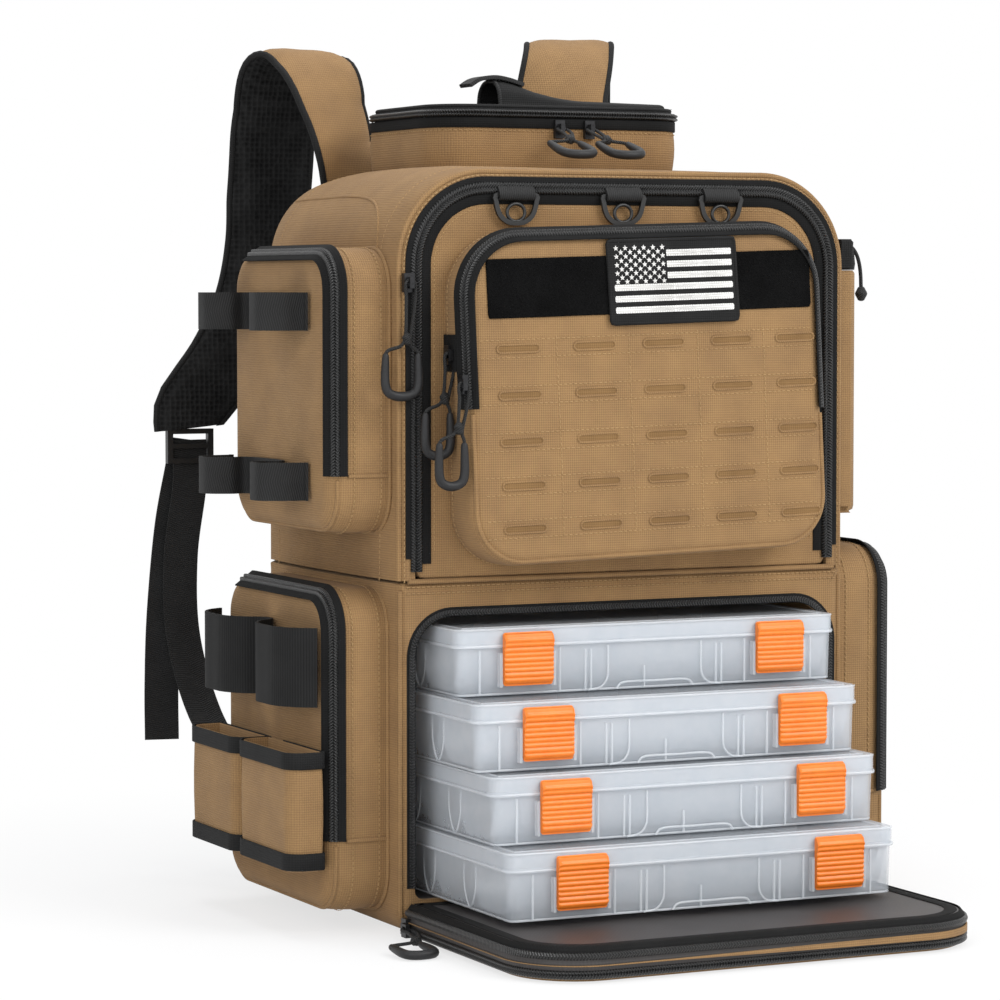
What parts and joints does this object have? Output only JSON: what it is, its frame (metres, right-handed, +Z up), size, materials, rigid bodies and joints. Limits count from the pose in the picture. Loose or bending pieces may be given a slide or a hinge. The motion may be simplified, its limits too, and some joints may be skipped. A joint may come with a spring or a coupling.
{
  "type": "tackle backpack",
  "caption": "Soft fishing backpack with a fold-down lower compartment of slide-out tackle trays, side rod carriers, pockets and padded shoulder straps.",
  "frame": {"origin": "centre of the pack's base on the ground", "axes": "+Z up, the pack's front faces -Y and the wearer's back is at +Y, +X to the pack's right as seen from the front"},
  "size_m": [0.447, 0.5161, 0.5843],
  "materials": {
    "tan_cloth": "coated woven polyester",
    "black_cloth": "woven webbing, mesh and coated lining",
    "black_plastic": "moulded",
    "slider_metal": "black painted zinc",
    "pull_cord": "braided cord with moulded grip",
    "clear_plastic": "translucent",
    "orange_plastic": "moulded"
  },
  "bodies": {
    "pack": {"lower_shell": "tan_cloth", "upper_shell": "tan_cloth", "back_panel": "black_cloth", "top_pocket": "tan_cloth", "left_upper_pocket": "tan_cloth", "left_lower_pocket": "tan_cloth", "right_lower_pocket": "tan_cloth", "bottle_pocket": "tan_cloth", "bottle_collar": "black_cloth", "drawstring": "black_cloth", "rod_strap_upper": "black_cloth", "rod_strap_lower": "black_cloth", "rod_band": "black_cloth", "rod_sleeves": "tan_cloth", "shoulder_strap_left": "tan_cloth", "shoulder_strap_right": "tan_cloth", "strap_webbing_left": "black_cloth", "strap_webbing_right": "black_cloth", "ladder_lock_left": "black_plastic", "ladder_lock_right": "black_plastic", "haul_handle": "black_cloth"},
    "main_door": {"main_panel": "tan_cloth", "front_pocket": "tan_cloth", "patch": "black_cloth", "ring_webbing": "black_cloth", "front_slider_1": "slider_metal", "front_slider_2": "slider_metal"},
    "top_lid": {"top_lid": "black_cloth", "tool_sleeve": "black_cloth"},
    "flap": {"lower_flap": "black_cloth", "flap_slider": "slider_metal"},
    "main_slider": {"main_slider": "slider_metal"},
    "main_pull": {"main_pull": "pull_cord"},
    "top_slider_1": {"top_slider_1": "slider_metal"},
    "top_pull_1": {"top_pull_1": "pull_cord"},
    "top_slider_2": {"top_slider_2": "slider_metal"},
    "top_pull_2": {"top_pull_2": "pull_cord"},
    "front_pull_1": {"front_pull_1": "pull_cord"},
    "front_pull_2": {"front_pull_2": "pull_cord"},
    "flap_pull": {"flap_pull": "pull_cord"},
    "d_ring_1": {"d_ring_1": "black_plastic"},
    "d_ring_2": {"d_ring_2": "black_plastic"},
    "d_ring_3": {"d_ring_3": "black_plastic"},
    "tray_1": {"tray_1_base": "clear_plastic", "tray_1_lid": "clear_plastic"},
    "tray_1_latch_left": {"tray_1_latch_left": "orange_plastic"},
    "tray_1_latch_right": {"tray_1_latch_right": "orange_plastic"},
    "tray_2": {"tray_2_base": "clear_plastic", "tray_2_lid": "clear_plastic"},
    "tray_2_latch_left": {"tray_2_latch_left": "orange_plastic"},
    "tray_2_latch_right": {"tray_2_latch_right": "orange_plastic"},
    "tray_3": {"tray_3_base": "clear_plastic", "tray_3_lid": "clear_plastic"},
    "tray_3_latch_left": {"tray_3_latch_left": "orange_plastic"},
    "tray_3_latch_right": {"tray_3_latch_right": "orange_plastic"},
    "tray_4": {"tray_4_base": "clear_plastic", "tray_4_lid": "clear_plastic"},
    "tray_4_latch_left": {"tray_4_latch_left": "orange_plastic"},
    "tray_4_latch_right": {"tray_4_latch_right": "orange_plastic"}
  },
  "joints": [
    {"name": "flap_hinge", "type": "hinge", "parent": "pack", "child": "flap", "pos_m": [0, -0.1105, 0.023], "axis": [-1, 0, 0], "range_deg": [0, 90], "deforming": ["lower_flap"]},
    {"name": "tray_1_slide", "type": "slide", "parent": "pack", "child": "tray_1", "axis": [0, 1, 0], "range_m": [0, 0.1185]},
    {"name": "tray_2_slide", "type": "slide", "parent": "pack", "child": "tray_2", "axis": [0, 1, 0], "range_m": [0, 0.0925]},
    {"name": "tray_3_slide", "type": "slide", "parent": "pack", "child": "tray_3", "axis": [0, 1, 0], "range_m": [0, 0.0735]},
    {"name": "tray_4_slide", "type": "slide", "parent": "pack", "child": "tray_4", "axis": [0, 1, 0], "range_m": [0, 0.0365]},
    {"name": "tray_1_latch_left_hinge", "type": "hinge", "parent": "tray_1", "child": "tray_1_latch_left", "pos_m": [-0.089, -0.2244, 0.033], "axis": [-1, 0, 0], "range_deg": [-90, 0]},
    {"name": "tray_1_latch_right_hinge", "type": "hinge", "parent": "tray_1", "child": "tray_1_latch_right", "pos_m": [0.092, -0.2244, 0.033], "axis": [-1, 0, 0], "range_deg": [-90, 0]},
    {"name": "tray_2_latch_left_hinge", "type": "hinge", "parent": "tray_2", "child": "tray_2_latch_left", "pos_m": [-0.0872, -0.1984, 0.07597], "axis": [-1, 0, 0], "range_deg": [-90, 0]},
    {"name": "tray_2_latch_right_hinge", "type": "hinge", "parent": "tray_2", "child": "tray_2_latch_right", "pos_m": [0.0938, -0.1984, 0.07597], "axis": [-1, 0, 0], "range_deg": [-90, 0]},
    {"name": "tray_3_latch_left_hinge", "type": "hinge", "parent": "tray_3", "child": "tray_3_latch_left", "pos_m": [-0.0899, -0.1794, 0.11894], "axis": [-1, 0, 0], "range_deg": [-90, 0]},
    {"name": "tray_3_latch_right_hinge", "type": "hinge", "parent": "tray_3", "child": "tray_3_latch_right", "pos_m": [0.0911, -0.1794, 0.11894], "axis": [-1, 0, 0], "range_deg": [-90, 0]},
    {"name": "tray_4_latch_left_hinge", "type": "hinge", "parent": "tray_4", "child": "tray_4_latch_left", "pos_m": [-0.0858, -0.1424, 0.16191], "axis": [-1, 0, 0], "range_deg": [-90, 0]},
    {"name": "tray_4_latch_right_hinge", "type": "hinge", "parent": "tray_4", "child": "tray_4_latch_right", "pos_m": [0.0952, -0.1424, 0.16191], "axis": [-1, 0, 0], "range_deg": [-90, 0]},
    {"name": "main_panel_hinge", "type": "hinge", "parent": "pack", "child": "main_door", "pos_m": [0, -0.11, 0.225], "axis": [-1, 0, 0], "range_deg": [-55, 0]},
    {"name": "top_lid_hinge", "type": "hinge", "parent": "pack", "child": "top_lid", "pos_m": [0, 0.106, 0.5196], "axis": [1, 0, 0], "range_deg": [-75, 0]},
    {"name": "main_zip_slide", "type": "slide", "parent": "pack", "child": "main_slider", "axis": [0, 0, 1], "range_m": [-0.15, 0]},
    {"name": "main_pull_swing", "type": "hinge", "parent": "main_slider", "child": "main_pull", "pos_m": [-0.1545, -0.1158, 0.411], "axis": [1, 0, 0], "range_deg": [-80, 0]},
    {"name": "top_zip_slide_1", "type": "slide", "parent": "pack", "child": "top_slider_1", "axis": [1, 0, 0], "range_m": [-0.05, 0]},
    {"name": "top_pull_1_swing", "type": "hinge", "parent": "top_slider_1", "child": "top_pull_1", "pos_m": [-0.006, -0.0278, 0.5123], "axis": [1, 0, 0], "range_deg": [-60, 0]},
    {"name": "top_zip_slide_2", "type": "slide", "parent": "pack", "child": "top_slider_2", "axis": [1, 0, 0], "range_m": [0, 0.05]},
    {"name": "top_pull_2_swing", "type": "hinge", "parent": "top_slider_2", "child": "top_pull_2", "pos_m": [0.016, -0.0278, 0.5123], "axis": [1, 0, 0], "range_deg": [-60, 0]},
    {"name": "front_pull_1_swing", "type": "hinge", "parent": "main_door", "child": "front_pull_1", "pos_m": [-0.1315, -0.1235, 0.366], "axis": [1, 0, 0], "range_deg": [-12, 0]},
    {"name": "front_pull_2_swing", "type": "hinge", "parent": "main_door", "child": "front_pull_2", "pos_m": [-0.1315, -0.1445, 0.348], "axis": [1, 0, 0], "range_deg": [-80, 0]},
    {"name": "flap_pull_swing", "type": "hinge", "parent": "flap", "child": "flap_pull", "pos_m": [-0.1611, -0.122, 0.007], "axis": [1, 0, 0], "range_deg": [-80, 0]},
    {"name": "d_ring_1_swing", "type": "hinge", "parent": "main_door", "child": "d_ring_1", "pos_m": [-0.081, -0.1143, 0.466], "axis": [1, 0, 0], "range_deg": [-80, 0]},
    {"name": "d_ring_2_swing", "type": "hinge", "parent": "main_door", "child": "d_ring_2", "pos_m": [-0.005, -0.1143, 0.466], "axis": [1, 0, 0], "range_deg": [-80, 0]},
    {"name": "d_ring_3_swing", "type": "hinge", "parent": "main_door", "child": "d_ring_3", "pos_m": [0.066, -0.1143, 0.466], "axis": [1, 0, 0], "range_deg": [-80, 0]}
  ],
  "couplings": [
    {"joint": "tray_1_slide", "follows": "flap_hinge", "m_per_rad": 0.075121},
    {"joint": "tray_2_slide", "follows": "flap_hinge", "m_per_rad": 0.058569},
    {"joint": "tray_3_slide", "follows": "flap_hinge", "m_per_rad": 0.046473},
    {"joint": "tray_4_slide", "follows": "flap_hinge", "m_per_rad": 0.022918}
  ]
}
